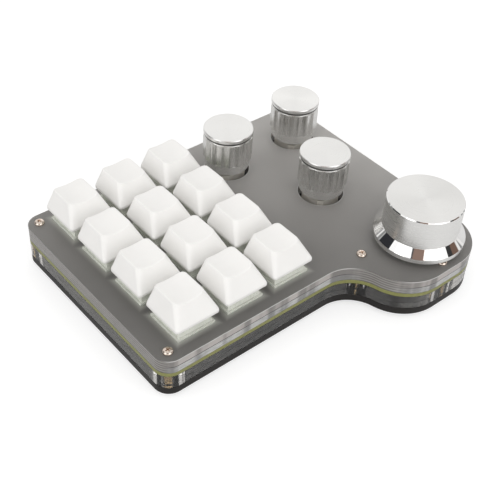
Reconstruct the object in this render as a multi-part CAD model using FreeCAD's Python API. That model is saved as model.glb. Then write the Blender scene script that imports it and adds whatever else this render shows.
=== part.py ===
import FreeCAD, Part
import math
import os

# Macro keypad: twelve mechanical keys and four press-and-turn knobs in a layered case.
# Millimetres. X runs along the keypad's width, Y from its front to its back, Z up.
# The origin is under the middle of the whole outline, on the surface it stands on.

# Key grid
key_columns = 3
key_rows = 4
key_pitch = 21.0
first_key_from_left = 17.5
first_key_from_front = 13.7
last_key_from_back = 12.75

# Case outline
case_width = 133.5
case_depth = first_key_from_front + (key_rows - 1) * key_pitch + last_key_from_back
case_corner_radius = 6.0
tab_depth = 24.75
tab_width = 47.6
tab_corner_radius = 18.0
notch_radius = 14.6

# Case layers, from the desk up
foot_height = 2.0
foot_diameter = 10.0
foot_rim_chamfer = 0.5
foot_inset = 14.0
tab_foot_from_front = 18.0
base_thickness = 3.0
frame_thickness = 5.8
frame_wall = 5.0
frame_boss_radius = 5.0
frame_inner_radius = 2.0
board_thickness = 1.6
cover_thickness = 5.8

# Knob places
left_knob_from_keys = 22.9
right_knob_from_right = 15.9
back_knobs_from_back = 18.9
middle_knob_aside = 2.35
middle_knob_from_back_knobs = 34.05
main_knob_from_tab_front = 18.75
main_knob_aside = 2.8

# Screws and standoffs
screw_inset = 4.7
notch_screw_from_tab_left = 3.1
notch_screw_from_front = 0.2
tab_screw_inset = 4.0
screw_diameter = 2.0
screw_clearance = 0.25
screw_head_diameter = 3.8
screw_head_height = 1.3
screw_recess_depth = 0.6
screw_recess_width = 0.7
screw_recess_span = 2.2
screw_shank_sides = 6
screw_reach = 1.8
standoff_flats = 4.0
standoff_clearance = 0.15
thread_clearance = 0.05

# Key switch: lower housing
switch_body = 13.9
switch_cutout_clearance = 0.05
switch_flange = 15.6
switch_flange_height = 1.0
switch_wall = 1.0
switch_floor = 1.2
post_diameter = 4.0
post_below_board = 1.7
post_sides = 8
post_clearance = 0.05
pole_bore_floor = 0.7

# Key switch: upper housing
switch_top_height = 6.6
switch_lid_base = 14.6
switch_lid_width = 10.0
switch_lid_depth = 8.6
switch_lid_roof = 1.0

# Key switch: slider, spring and contacts
key_travel = 4.0
slider_width = 6.9
slider_depth = 5.4
slider_clearance = 0.15
slider_height = 3.4
shoulder_overhang = 0.75
shoulder_height = 0.8
shoulder_gap = 0.1
cross_height = 3.6
cross_span = 4.0
cross_blade_wide = 1.3
cross_blade_thin = 1.15
pole_diameter = 2.9
pole_clearance = 0.08
pole_end_gap = 0.2
spring_outer = 4.2
spring_inner = 3.4
spring_pocket_clearance = 0.25
spring_seat_gap = 0.05
spring_pocket_depth = 2.0
leaf_from_centre = 5.15
leaf_width = 4.6
leaf_thickness = 0.3
leaf_height = 6.2
pin_width = 0.9
pin_hole_clearance = 0.1
pin_length_below_board = 1.7
leaf_pin_x = -2.54
stud_x = 3.95
stud_y = -2.54
stud_height = 3.6

# Keycap
cap_gap_across = 2.9
cap_gap_along = 3.3
cap_width = key_pitch - cap_gap_across
cap_depth = key_pitch - cap_gap_along
cap_base_radius = 1.6
cap_lip = 1.0
cap_rest_gap = 5.2
cap_height = 8.4
cap_top_width = 12.2
cap_top_depth = 12.1
cap_top_shift = 1.9
cap_top_radius = 2.2
cap_dish = 1.0
cap_edge_chamfer = 0.6
cap_wall = 1.2
cap_roof = 1.3
cap_boss_diameter = 5.4
cap_boss_gap = 0.2
cross_clearance = 0.03

# Key lights under the board
light_body = 3.6
light_body_height = 1.0
light_lens = 2.4
light_window_clearance = 0.2
light_lens_height = 1.0
light_from_key = 5.08
tab_light_from_tab_left = 15.0
tab_light_from_tab_front = 9.8

# Rotary encoder
encoder_width = 11.7
encoder_depth = 12.0
encoder_corner = 1.6
encoder_height = 6.5
encoder_roof = 1.2
encoder_opening_diameter = 20.0
bushing_diameter = 7.0
bushing_length = 5.0
shaft_diameter = 6.0
shaft_length = 15.0
shaft_running_gap = 0.05
shaft_flat_depth = 1.5
shaft_flat_length = 9.5
rotor_diameter = 9.0
rotor_thickness = 1.2
rotor_gap = 0.2
rotor_side_gap = 0.3
plunger_diameter = 5.0
plunger_thickness = 1.5
plunger_gap = 0.1
push_travel = 0.5
encoder_pin_width = 0.9
encoder_pin_rows = ((-2.5, -5.2), (0.0, -5.2), (2.5, -5.2), (-2.5, 5.2), (2.5, 5.2))

# Small knob
knob_rest_gap = 2.3
small_knob_radius = 9.8
small_knob_height = 17.0
small_knob_foot_radius = 8.7
small_knob_band = 4.4
small_knob_groove_depth = 0.5
small_knob_groove_height = 1.2
small_knob_cap_height = 1.5
small_knob_chamfer = 0.4
flute_count = 16
flute_depth = 0.4
flute_radius = 3.6
knob_bore_gap = 0.03
knob_bore_end_gap = 0.6
knob_counterbore_diameter = 12.0
knob_counterbore_gap = 1.7

# Main knob
main_knob_radius = 14.4
main_knob_flange_radius = 17.15
main_knob_flange_height = 2.1
main_knob_flare_height = 2.7
main_knob_flare_step = 0.15
main_knob_chamfer = 0.4
main_knob_rim_chamfer = 0.2
main_knob_recess_radius = 12.8
main_knob_recess_depth = 1.3

# Computer socket and controller
socket_width = 8.94
socket_height = 3.16
socket_depth = 7.3
socket_wall = 0.3
socket_tongue_width = 6.7
socket_tongue_thickness = 0.7
socket_tongue_set_back = 0.9
socket_back_wall = 1.2
socket_gap_clearance = 0.5
controller_size = 7.0
controller_height = 0.9
controller_from_back = 28.0

# Places worked out from the sizes above
left_edge = -case_width / 2
right_edge = case_width / 2
back_edge = (case_depth + tab_depth) / 2
front_edge = back_edge - case_depth
tab_front = front_edge - tab_depth
tab_left = right_edge - tab_width
tab_middle = right_edge - tab_width / 2

base_bottom = foot_height
frame_bottom = base_bottom + base_thickness
board_bottom = frame_bottom + frame_thickness
board_top = board_bottom + board_thickness
cover_top = board_top + cover_thickness

key_grid = [
    (row, column,
     left_edge + first_key_from_left + column * key_pitch,
     front_edge + first_key_from_front + row * key_pitch)
    for row in range(key_rows) for column in range(key_columns)
]
last_key_x = left_edge + first_key_from_left + (key_columns - 1) * key_pitch
left_knob_x = last_key_x + left_knob_from_keys
right_knob_x = right_edge - right_knob_from_right
back_knobs_y = back_edge - back_knobs_from_back
knobs = {
    "left": (left_knob_x, back_knobs_y),
    "right": (right_knob_x, back_knobs_y),
    "middle": ((left_knob_x + right_knob_x) / 2 + middle_knob_aside,
               back_knobs_y - middle_knob_from_back_knobs),
    "main": (tab_middle + main_knob_aside, tab_front + main_knob_from_tab_front),
}
socket_x = (last_key_x + left_knob_x) / 2
screws = [
    (left_edge + screw_inset, back_edge - screw_inset),
    (left_edge + screw_inset, front_edge + screw_inset),
    (tab_left + notch_screw_from_tab_left, front_edge + notch_screw_from_front),
    (tab_middle, tab_front + tab_screw_inset),
    (right_edge - screw_inset, back_edge - screw_inset),
]
feet = [
    (left_edge + foot_inset, back_edge - foot_inset),
    (left_edge + foot_inset, front_edge + foot_inset),
    (right_edge - foot_inset, back_edge - foot_inset),
    (tab_middle, tab_front + tab_foot_from_front),
]
lights = [(x, y + light_from_key) for row, column, x, y in key_grid]
lights.append((tab_left + tab_light_from_tab_left, tab_front + tab_light_from_tab_front))

encoder_top = board_top + encoder_height
encoder_floor = (encoder_top - encoder_roof - rotor_gap - rotor_thickness - plunger_gap
                 - plunger_thickness - push_travel - plunger_gap)
knob_bottom = cover_top + knob_rest_gap
shaft_top = encoder_top + shaft_length

housing_top = cover_top + switch_top_height
slider_bottom = housing_top - slider_height
switch_floor_top = board_top + switch_floor
spring_top = slider_bottom + spring_pocket_depth
post_bottom = board_bottom - post_below_board
pole_bottom = post_bottom + pole_bore_floor + pole_end_gap + key_travel
cap_bottom = cover_top + cap_rest_gap
cap_roof_bottom = cap_bottom + cap_height - cap_dish - cap_roof


def vec(x, y, z):
    return FreeCAD.Vector(x, y, z)


def block(width, depth, bottom, top, x=0.0, y=0.0):
    """A box centred on x, y."""
    return Part.makeBox(width, depth, top - bottom, vec(x - width / 2, y - depth / 2, bottom))


def rod(diameter, bottom, top, x=0.0, y=0.0):
    """An upright cylinder centred on x, y."""
    return Part.makeCylinder(diameter / 2, top - bottom, vec(x, y, bottom))


def prism(sides, width, bottom, top, x=0.0, y=0.0):
    """An upright prism of a regular polygon, its width across the flats."""
    corner = width / 2 / math.cos(math.pi / sides)
    points = []
    for number in range(sides + 1):
        turn = 2 * math.pi * (number + 0.5) / sides
        points.append(vec(x + corner * math.cos(turn), y + corner * math.sin(turn), bottom))
    return Part.Face(Part.makePolygon(points)).extrude(vec(0, 0, top - bottom))


def tapered_block(lower, upper, bottom, top, shift=0.0):
    """A block with flat leaning sides, from its lower to its upper width and depth, the top shifted."""
    rings = []
    for (width, depth), z, middle in ((lower, bottom, 0.0), (upper, top, shift)):
        signs = ((1, 1), (-1, 1), (-1, -1), (1, -1))
        rings.append([vec(across * width / 2, middle + along * depth / 2, z)
                      for across, along in signs])
    low, high = rings
    faces = [low[::-1], high]
    faces += [[low[n], low[(n + 1) % 4], high[(n + 1) % 4], high[n]] for n in range(4)]
    shell = Part.Shell([Part.Face(Part.makePolygon(face + [face[0]])) for face in faces])
    return Part.Solid(shell)


def upright_edges(shape):
    """The edges of a block that run from its bottom to its top."""
    height = shape.BoundBox.ZLength
    return [edge for edge in shape.Edges if edge.BoundBox.ZLength > 0.9 * height]


def fuse(shapes):
    """One clean solid from shapes that meet."""
    return shapes[0].multiFuse(shapes[1:]).removeSplitter()


def arc(centre, radius, start, end):
    """An arc edge at z = 0 between two angles in degrees."""
    points = []
    for angle in (start, (start + end) / 2, end):
        turn = math.radians(angle)
        points.append(vec(centre[0] + radius * math.cos(turn), centre[1] + radius * math.sin(turn), 0))
    return Part.Arc(*points).toShape()


def closed_wire(edges):
    """Joins edges in order, with straight lines across the gaps between them."""
    joined = []
    for number, edge in enumerate(edges):
        following = edges[(number + 1) % len(edges)]
        joined.append(edge)
        end = edge.lastVertex(True).Point
        start = following.firstVertex(True).Point
        if end.distanceToPoint(start) > 1e-6:
            joined.append(Part.makeLine(end, start))
    return Part.Wire(joined)


def rounded_wire(width, depth, radius, z, shift=0.0):
    """A rectangle with round corners at height z, its middle shifted along Y."""
    across = width / 2 - radius
    along = depth / 2 - radius
    wire = closed_wire([
        arc((across, along + shift), radius, 0, 90),
        arc((-across, along + shift), radius, 90, 180),
        arc((-across, -along + shift), radius, 180, 270),
        arc((across, -along + shift), radius, 270, 360),
    ])
    wire.translate(vec(0, 0, z))
    return wire


def case_wire(inset=0.0, least_radius=0.0):
    """The case outline moved inwards: a rectangle with a round tab beside a hollow curve."""
    corner = max(case_corner_radius - inset, least_radius)
    tab_corner = tab_corner_radius - inset
    left = left_edge + inset + corner
    right = right_edge - inset - corner
    back = back_edge - inset - corner
    front = front_edge + inset + corner
    tab_centre_y = tab_front + tab_corner_radius
    tab_left_centre = (tab_left + tab_corner_radius, tab_centre_y)
    tab_right_centre = (right_edge - tab_corner_radius, tab_centre_y)
    rise = tab_centre_y - (front_edge - notch_radius)
    run = math.sqrt((notch_radius + tab_corner_radius) ** 2 - rise ** 2)
    notch_centre = (tab_left_centre[0] - run, front_edge - notch_radius)
    swing = math.degrees(math.atan2(rise, run))
    return closed_wire([
        arc((left, back), corner, 90, 180),
        arc((left, front), corner, 180, 270),
        arc(notch_centre, notch_radius + inset, 90, swing),
        arc(tab_left_centre, tab_corner, 180 + swing, 270),
        arc(tab_right_centre, tab_corner, 270, 360),
        arc((right, back), corner, 0, 90),
    ])


def case_slab(bottom, top, inset=0.0, least_radius=0.0):
    """A plate of the case outline between two heights."""
    face = Part.Face(case_wire(inset, least_radius))
    face.translate(vec(0, 0, bottom))
    return face.extrude(vec(0, 0, top - bottom))


def at(shape, x, y):
    """A copy of a shape moved to x, y."""
    copy = shape.copy()
    copy.translate(vec(x, y, 0))
    return copy


def repeat(shape, places):
    """Copies of a shape at each place, as one group."""
    return Part.makeCompound([at(shape, x, y) for x, y in places])


def turned(profile):
    """A solid turned about the Z axis from (radius, height) points."""
    points = [vec(radius, 0, height) for radius, height in profile]
    wire = Part.makePolygon(points + [points[0]])
    return Part.Face(wire).revolve(vec(0, 0, 0), vec(0, 0, 1), 360)


# Pieces of the layered case

def cover():
    """Frosted clear plate with the key and knob openings."""
    plate = case_slab(board_top, cover_top)
    opening = switch_body + 2 * switch_cutout_clearance
    cuts = [block(opening, opening, board_top - 1, cover_top + 1, x, y) for row, column, x, y in key_grid]
    cuts += [rod(encoder_opening_diameter, board_top - 1, cover_top + 1, x, y) for x, y in knobs.values()]
    hole = screw_diameter + 2 * screw_clearance
    cuts += [rod(hole, board_top - 1, cover_top + 1, x, y) for x, y in screws]
    return plate.cut(cuts)


def circuit_board():
    """Board with holes for the switch posts and pins, the lights and the screws."""
    low = board_bottom - 1
    high = board_top + 1
    cuts = []
    post_hole = post_diameter + 2 * post_clearance
    pin_hole = pin_width + 2 * pin_hole_clearance
    for row, column, x, y in key_grid:
        cuts.append(prism(post_sides, post_hole, low, high, x, y))
        cuts.append(block(pin_hole, pin_hole, low, high, x + leaf_pin_x, y - leaf_from_centre))
        cuts.append(block(pin_hole, pin_hole, low, high, x + stud_x, y + stud_y))
    window = light_lens + 2 * light_window_clearance
    cuts += [block(window, window, low, high, x, y) for x, y in lights]
    hole = screw_diameter + 2 * screw_clearance
    cuts += [rod(hole, low, high, x, y) for x, y in screws]
    leg_hole = encoder_pin_width + 2 * pin_hole_clearance
    for x, y in knobs.values():
        cuts += [block(leg_hole, leg_hole, low, high, x + dx, y + dy) for dx, dy in encoder_pin_rows]
    return case_slab(board_bottom, board_top).cut(cuts)


def middle_frame():
    """Clear spacer round the edge, with a boss at each screw and a gap for the socket."""
    ring = case_slab(frame_bottom, board_bottom)
    ring = ring.cut(case_slab(frame_bottom - 1, board_bottom + 1, frame_wall, frame_inner_radius))
    bosses = [rod(2 * frame_boss_radius, frame_bottom, board_bottom, x, y) for x, y in screws]
    ring = fuse([ring] + bosses).common(case_slab(frame_bottom, board_bottom))
    hole = standoff_flats / math.cos(math.pi / 6) + 2 * standoff_clearance
    cuts = [rod(hole, frame_bottom - 1, board_bottom + 1, x, y) for x, y in screws]
    gap = socket_width + 2 * socket_gap_clearance
    cuts.append(block(gap, 2 * frame_wall + 2, frame_bottom - 1, board_bottom + 1,
                      socket_x, back_edge))
    return ring.cut(cuts)


def base():
    """Black bottom plate."""
    hole = screw_diameter + 2 * screw_clearance
    cuts = [rod(hole, base_bottom - 1, frame_bottom + 1, x, y) for x, y in screws]
    return case_slab(base_bottom, frame_bottom).cut(cuts)


def rubber_foot():
    """Round stick-on foot with a chamfered rim where it meets the desk."""
    radius = foot_diameter / 2
    return turned([(0, 0), (radius - foot_rim_chamfer, 0), (radius, foot_rim_chamfer),
                   (radius, foot_height), (0, foot_height)])


def pan_screw(length):
    """Pan head machine screw, its head's underside at z = 0 and its shank below."""
    edge = screw_head_diameter / 2
    head = turned([
        (0, 0), (edge, 0), (edge, screw_head_height * 0.45),
        (edge * 0.7, screw_head_height), (0, screw_head_height),
    ])
    recess_bottom = screw_head_height - screw_recess_depth
    slots = fuse([
        block(screw_recess_span, screw_recess_width, recess_bottom, screw_head_height + 1),
        block(screw_recess_width, screw_recess_span, recess_bottom, screw_head_height + 1),
    ])
    return fuse([head.cut(slots), prism(screw_shank_sides, screw_diameter, -length, screw_recess_depth / 2)])


def cover_screw():
    """Screw from above, through the cover and the board into a standoff."""
    screw = pan_screw(cover_thickness + board_thickness + screw_reach)
    screw.translate(vec(0, 0, cover_top))
    return screw


def base_screw():
    """Screw from below, through the base into a standoff."""
    screw = pan_screw(base_thickness + screw_reach)
    screw.rotate(vec(0, 0, 0), vec(1, 0, 0), 180)
    screw.translate(vec(0, 0, base_bottom))
    return screw


def standoff():
    """Hexagonal brass pillar with a hole right through."""
    pillar = prism(6, standoff_flats, frame_bottom, board_bottom)
    bore = prism(screw_shank_sides, screw_diameter + 2 * thread_clearance, frame_bottom - 1, board_bottom + 1)
    return pillar.cut(bore)


# Pieces of a key

def switch_base():
    """Lower switch housing: open box with a flange on the cover and a hollow post below."""
    flange_top = cover_top + switch_flange_height
    cavity = switch_body - 2 * switch_wall
    shape = fuse([
        block(switch_body, switch_body, board_top, cover_top),
        block(switch_flange, switch_flange, cover_top, flange_top),
        prism(post_sides, post_diameter, post_bottom, board_top),
    ])
    bore_bottom = post_bottom + pole_bore_floor
    pin_hole = pin_width + pin_hole_clearance
    return shape.cut([
        block(cavity, cavity, switch_floor_top, flange_top + 1),
        prism(post_sides, pole_diameter + 2 * pole_clearance, bore_bottom, switch_floor_top + 1),
        block(pin_hole, pin_hole, board_top - 1, switch_floor_top + 1, leaf_pin_x, -leaf_from_centre),
        block(pin_hole, pin_hole, board_top - 1, switch_floor_top + 1, stud_x, stud_y),
    ])


def switch_lid():
    """Upper switch housing: tapered hood with an opening for the slider."""
    bottom = cover_top + switch_flange_height
    inner_base = switch_lid_base - 2 * switch_wall
    hood = tapered_block((switch_lid_base, switch_lid_base), (switch_lid_width, switch_lid_depth),
                         bottom, housing_top)
    inside = tapered_block((inner_base, inner_base),
                           (switch_lid_width - 2 * switch_wall, switch_lid_depth - 2 * switch_wall),
                           bottom, housing_top)
    inside = inside.common(block(case_width, case_width, bottom, housing_top - switch_lid_roof))
    opening = block(slider_width + 2 * slider_clearance, slider_depth + 2 * slider_clearance,
                    bottom, housing_top + 1)
    return hood.cut([inside, opening])


def slider():
    """Moving stem: block with side shoulders, a pole below and a cross on top."""
    shoulder_top = housing_top - switch_lid_roof - shoulder_gap
    body = fuse([
        block(slider_width, slider_depth, slider_bottom, housing_top),
        block(slider_width + 2 * shoulder_overhang, slider_depth,
              shoulder_top - shoulder_height, shoulder_top),
    ])
    pocket = prism(post_sides, spring_outer + 2 * spring_pocket_clearance, slider_bottom - 1, spring_top)
    cross_top = housing_top + cross_height
    return fuse([
        body.cut(pocket),
        prism(post_sides, pole_diameter, pole_bottom, spring_top + 0.2),
        block(cross_span, cross_blade_wide, housing_top, cross_top),
        block(cross_blade_thin, cross_span, housing_top, cross_top),
    ])


def key_spring():
    """The return spring's envelope, a thin sleeve round the slider's pole."""
    sleeve = prism(post_sides, spring_outer, switch_floor_top, spring_top - spring_seat_gap)
    return sleeve.cut(prism(post_sides, spring_inner, switch_floor_top - 1, spring_top + 1))


def switch_contacts():
    """The two copper contacts of a switch, each with its solder pin."""
    pin_bottom = board_bottom - pin_length_below_board
    leaf = fuse([
        block(leaf_width, leaf_thickness, switch_floor_top, switch_floor_top + leaf_height,
              0, -leaf_from_centre),
        block(pin_width, pin_width / 2, pin_bottom, switch_floor_top + 0.2, leaf_pin_x, -leaf_from_centre),
    ])
    stud = fuse([
        block(leaf_thickness, pin_width, switch_floor_top, switch_floor_top + stud_height, stud_x, stud_y),
        block(pin_width / 2, pin_width, pin_bottom, switch_floor_top + 0.2, stud_x, stud_y),
    ])
    return Part.makeCompound([leaf, stud])


def keycap():
    """Sculpted cap: straight lip, leaning sides, a hollow across the top and a cross socket."""
    lip_top = cap_bottom + cap_lip
    top = cap_bottom + cap_height
    skirt = Part.Face(rounded_wire(cap_width, cap_depth, cap_base_radius, cap_bottom))
    sides = Part.makeLoft([
        rounded_wire(cap_width, cap_depth, cap_base_radius, lip_top),
        rounded_wire(cap_top_width, cap_top_depth, cap_top_radius, top, cap_top_shift),
    ], True, True)
    outside = fuse([skirt.extrude(vec(0, 0, cap_lip)), sides])
    half = cap_top_width / 2
    dish_radius = (half ** 2 + cap_dish ** 2) / (2 * cap_dish)
    dish = Part.makeCylinder(dish_radius, 2 * cap_depth, vec(0, -cap_depth, top - cap_dish + dish_radius),
                             vec(0, 1, 0))
    outside = outside.cut(dish)
    rim = [edge for edge in outside.Edges if edge.BoundBox.ZMin > top - cap_dish - 0.1]
    outside = outside.makeChamfer(cap_edge_chamfer, rim)
    inner_width = cap_width - 2 * cap_wall
    inner_depth = cap_depth - 2 * cap_wall
    cavity = tapered_block((inner_width, inner_depth),
                           (cap_top_width - 2 * cap_wall, cap_top_depth - 2 * cap_wall),
                           lip_top, top, cap_top_shift)
    cavity = fuse([block(inner_width, inner_depth, cap_bottom - 1, lip_top), cavity])
    cavity = cavity.common(block(cap_width, cap_depth, cap_bottom - 1, cap_roof_bottom))
    boss_bottom = housing_top + cap_boss_gap
    boss = prism(post_sides, cap_boss_diameter, boss_bottom, cap_roof_bottom + 0.3)
    socket = fuse([
        block(cross_span + 2 * cross_clearance, cross_blade_wide + 2 * cross_clearance,
              boss_bottom - 1, cap_roof_bottom),
        block(cross_blade_thin + 2 * cross_clearance, cross_span + 2 * cross_clearance,
              boss_bottom - 1, cap_roof_bottom),
    ])
    return fuse([outside.cut(cavity), boss]).cut(socket)


def light():
    """Light chip under the board, its lens up in the board's window."""
    lens_top = board_bottom + light_lens_height
    return fuse([
        block(light_body, light_body, board_bottom - light_body_height, board_bottom),
        block(light_lens, light_lens, board_bottom, lens_top),
    ])


# Pieces of a knob

def encoder_body():
    """Encoder case with its threaded bushing, hollow for the rotor and the plunger."""
    shape = block(encoder_width, encoder_depth, board_top, encoder_top)
    shape = shape.makeChamfer(encoder_corner, upright_edges(shape))
    legs = [block(encoder_pin_width, encoder_pin_width,
                  board_bottom - pin_length_below_board, board_top + 0.5, dx, dy)
            for dx, dy in encoder_pin_rows]
    shape = fuse([shape, rod(bushing_diameter, encoder_top, encoder_top + bushing_length)] + legs)
    roof_bottom = encoder_top - encoder_roof
    return shape.cut([
        rod(rotor_diameter + 2 * rotor_side_gap, encoder_floor, roof_bottom),
        rod(shaft_diameter + 2 * shaft_running_gap, roof_bottom - 1, encoder_top + bushing_length + 1),
    ])


def flat_shaft(diameter, bottom, top, flat_depth):
    """A rod with a flat along it on the front side."""
    shape = rod(diameter, bottom, top)
    flat = block(diameter, diameter, bottom - 1, top + 1, 0, -diameter + flat_depth)
    return shape.cut(flat)


def encoder_shaft():
    """Shaft with the rotor that holds it in, and a flat on the top stretch."""
    rotor_top = encoder_top - encoder_roof - rotor_gap
    flat_bottom = shaft_top - shaft_flat_length
    return fuse([
        rod(rotor_diameter, rotor_top - rotor_thickness, rotor_top),
        rod(shaft_diameter, rotor_top, flat_bottom),
        flat_shaft(shaft_diameter, flat_bottom, shaft_top, shaft_flat_depth),
    ])


def encoder_plunger():
    """The push switch's plunger under the rotor."""
    top = encoder_top - encoder_roof - rotor_gap - rotor_thickness - plunger_gap
    return rod(plunger_diameter, top - plunger_thickness, top)


def knob_hollow():
    """What is cut from a knob: the shaft's bore and the clearance round the bushing."""
    bore = flat_shaft(shaft_diameter + 2 * knob_bore_gap, encoder_top, shaft_top + knob_bore_end_gap,
                      shaft_flat_depth)
    clearance_top = encoder_top + bushing_length + knob_counterbore_gap
    wide = rod(knob_counterbore_diameter, knob_bottom - 1, clearance_top)
    return fuse([bore, wide])


def small_knob():
    """Turned and fluted knob: smooth band, flutes, a groove and a flat top."""
    outer = small_knob_radius
    groove = outer - small_knob_groove_depth
    top = knob_bottom + small_knob_height
    cap_underside = top - small_knob_cap_height
    flute_top = cap_underside - small_knob_groove_height
    flute_bottom = knob_bottom + small_knob_band
    body = turned([
        (0, knob_bottom), (small_knob_foot_radius, knob_bottom), (outer, flute_bottom),
        (outer, flute_top), (groove, flute_top), (groove, cap_underside), (outer, cap_underside),
        (outer, top - small_knob_chamfer), (outer - small_knob_chamfer, top), (0, top),
    ])
    reach = outer + flute_radius - flute_depth
    flutes = []
    for number in range(flute_count):
        turn = 2 * math.pi * number / flute_count
        flutes.append(rod(2 * flute_radius, flute_bottom, flute_top + small_knob_groove_height / 2,
                          reach * math.cos(turn), reach * math.sin(turn)))
    return body.cut(flutes).cut(knob_hollow())


def main_knob():
    """Large smooth knob with a polished flare down to a thin flange."""
    top = knob_bottom + small_knob_height
    flare_bottom = knob_bottom + main_knob_flange_height
    rim = main_knob_flange_radius
    body = turned([
        (0, knob_bottom), (rim - main_knob_rim_chamfer, knob_bottom),
        (rim, knob_bottom + main_knob_rim_chamfer), (rim, flare_bottom - main_knob_rim_chamfer),
        (rim - main_knob_flare_step, flare_bottom),
        (main_knob_radius, flare_bottom + main_knob_flare_height),
        (main_knob_radius, top - main_knob_chamfer), (main_knob_radius - main_knob_chamfer, top), (0, top),
    ])
    recess = rod(2 * main_knob_recess_radius, knob_bottom - 1, knob_bottom + main_knob_recess_depth)
    return body.cut([recess, knob_hollow()])


# Computer socket and controller

def usb_socket():
    """Stadium-shaped metal shell under the board's back edge, with a tongue inside."""
    middle = board_bottom - socket_height / 2
    front = back_edge - socket_depth

    def stadium(width, height, start, length):
        radius = height / 2
        slab = block(width - height, length, middle - radius, middle + radius,
                     socket_x, start + length / 2)
        ends = [Part.makeCylinder(radius, length, vec(socket_x + side * (width / 2 - radius), start, middle),
                                  vec(0, 1, 0)) for side in (-1, 1)]
        return fuse([slab] + ends)

    shell = stadium(socket_width, socket_height, front, socket_depth)
    mouth = stadium(socket_width - 2 * socket_wall, socket_height - 2 * socket_wall,
                    front + socket_back_wall, socket_depth)
    tongue_length = socket_depth - socket_tongue_set_back
    tongue = block(socket_tongue_width, tongue_length, middle - socket_tongue_thickness / 2,
                   middle + socket_tongue_thickness / 2, socket_x, front + tongue_length / 2)
    return fuse([shell.cut(mouth), tongue])


def controller():
    """Controller chip under the board."""
    return block(controller_size, controller_size, board_bottom - controller_height, board_bottom,
                 socket_x, back_edge - controller_from_back)


def build():
    """Every node by name."""
    keys = [(x, y) for row, column, x, y in key_grid]
    knob_centres = list(knobs.values())
    nodes = {
        "cover_plate": cover(),
        "circuit_board": circuit_board(),
        "middle_frame": middle_frame(),
        "base_plate": base(),
        "rubber_feet": repeat(rubber_foot(), feet),
        "cover_screws": repeat(cover_screw(), screws),
        "base_screws": repeat(base_screw(), screws),
        "brass_standoffs": repeat(standoff(), screws),
        "switch_bases": repeat(switch_base(), keys),
        "switch_lids": repeat(switch_lid(), keys),
        "switch_contacts": Part.makeCompound([
            at(piece, x, y) for x, y in keys for piece in switch_contacts().Solids]),
        "key_springs": repeat(key_spring(), keys),
        "key_lights": repeat(light(), lights),
        "encoder_bodies": repeat(encoder_body(), knob_centres),
        "usb_socket": usb_socket(),
        "controller_chip": controller(),
    }
    cap = keycap()
    stem = slider()
    for row, column, x, y in key_grid:
        place = f"row{row + 1}_col{column + 1}"
        nodes["keycap_" + place] = at(cap, x, y)
        nodes["slider_" + place] = at(stem, x, y)
    for name, (x, y) in knobs.items():
        head = main_knob() if name == "main" else small_knob()
        nodes[name + "_knob"] = at(head, x, y)
        nodes[name + "_shaft"] = at(encoder_shaft(), x, y)
        nodes[name + "_plunger"] = at(encoder_plunger(), x, y)
    return nodes


def main():
    os.makedirs("parts", exist_ok=True)
    nodes = build()
    for name, shape in nodes.items():
        shape.exportStep(os.path.join("parts", name + ".step"))
    everything = Part.makeCompound(list(nodes.values()))
    box = everything.BoundBox
    print(len(nodes), "nodes", len(everything.Solids), "solids")
    print("size", round(box.XLength, 3), round(box.YLength, 3), round(box.ZLength, 3))
    print("box", [round(value, 3) for value in (box.XMin, box.YMin, box.ZMin, box.XMax, box.YMax, box.ZMax)])
    for name, shape in nodes.items():
        if not shape.isValid() or any(solid.Volume <= 0 for solid in shape.Solids):
            print("bad shape", name)


main()
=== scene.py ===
# %% [markdown]
# # A small desk keypad with knobs
# The keypad is a layered case: a frosted clear cover, a circuit board, a clear spacer frame and a
# black base, held by screws. Twelve blank keys and four aluminium knobs stand on it. The engineering
# model gives every piece its size and place, so this lesson only adds what the eye sees: rounded
# edges, finishes and light. Loading that model first means nothing here has to be fitted by hand.

# %% Load the model
import math

import bmesh
import bpy
from mathutils import Matrix, Vector


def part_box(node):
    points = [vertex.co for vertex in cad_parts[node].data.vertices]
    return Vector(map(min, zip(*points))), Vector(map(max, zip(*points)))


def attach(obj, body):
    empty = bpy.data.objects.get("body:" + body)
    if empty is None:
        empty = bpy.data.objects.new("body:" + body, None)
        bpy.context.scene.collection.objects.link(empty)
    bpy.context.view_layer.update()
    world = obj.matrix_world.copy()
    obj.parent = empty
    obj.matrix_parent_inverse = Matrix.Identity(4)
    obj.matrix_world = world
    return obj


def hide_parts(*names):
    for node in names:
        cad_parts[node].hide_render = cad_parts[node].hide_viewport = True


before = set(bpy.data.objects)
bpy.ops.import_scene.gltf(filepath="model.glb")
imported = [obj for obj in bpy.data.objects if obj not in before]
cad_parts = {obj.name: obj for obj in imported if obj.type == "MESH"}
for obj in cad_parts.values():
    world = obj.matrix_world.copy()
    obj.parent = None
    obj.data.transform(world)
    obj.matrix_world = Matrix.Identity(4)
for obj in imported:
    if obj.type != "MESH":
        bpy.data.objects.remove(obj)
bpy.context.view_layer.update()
mm = 0.001
print("pieces in the model:", len(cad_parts))


def centre_of(node):
    """The middle of a node's box."""
    low, high = (Vector(corner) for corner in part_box(node))
    return (low + high) / 2


case_low, case_high = (Vector(corner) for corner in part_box("cover_plate"))
cover_top = case_high.z
first_key = centre_of("slider_row1_col1")
pitch = centre_of("slider_row1_col2").x - first_key.x
print("case corner", tuple(case_low), "key pitch in mm", round(pitch / mm, 2))

# %% [markdown]
# ## Camera and light
# A product photograph of this kind is taken in a white tent: soft light from everywhere, two soft
# boxes beside the camera, a weak lamp behind, and a few dark gaps where the tent opens. The gaps
# matter, because polished metal shows nothing but its surroundings. They could be dark cards, but
# painting them into the world by direction keeps the scene free of objects. The camera is a plain
# pinhole of 69 mm.

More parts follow.
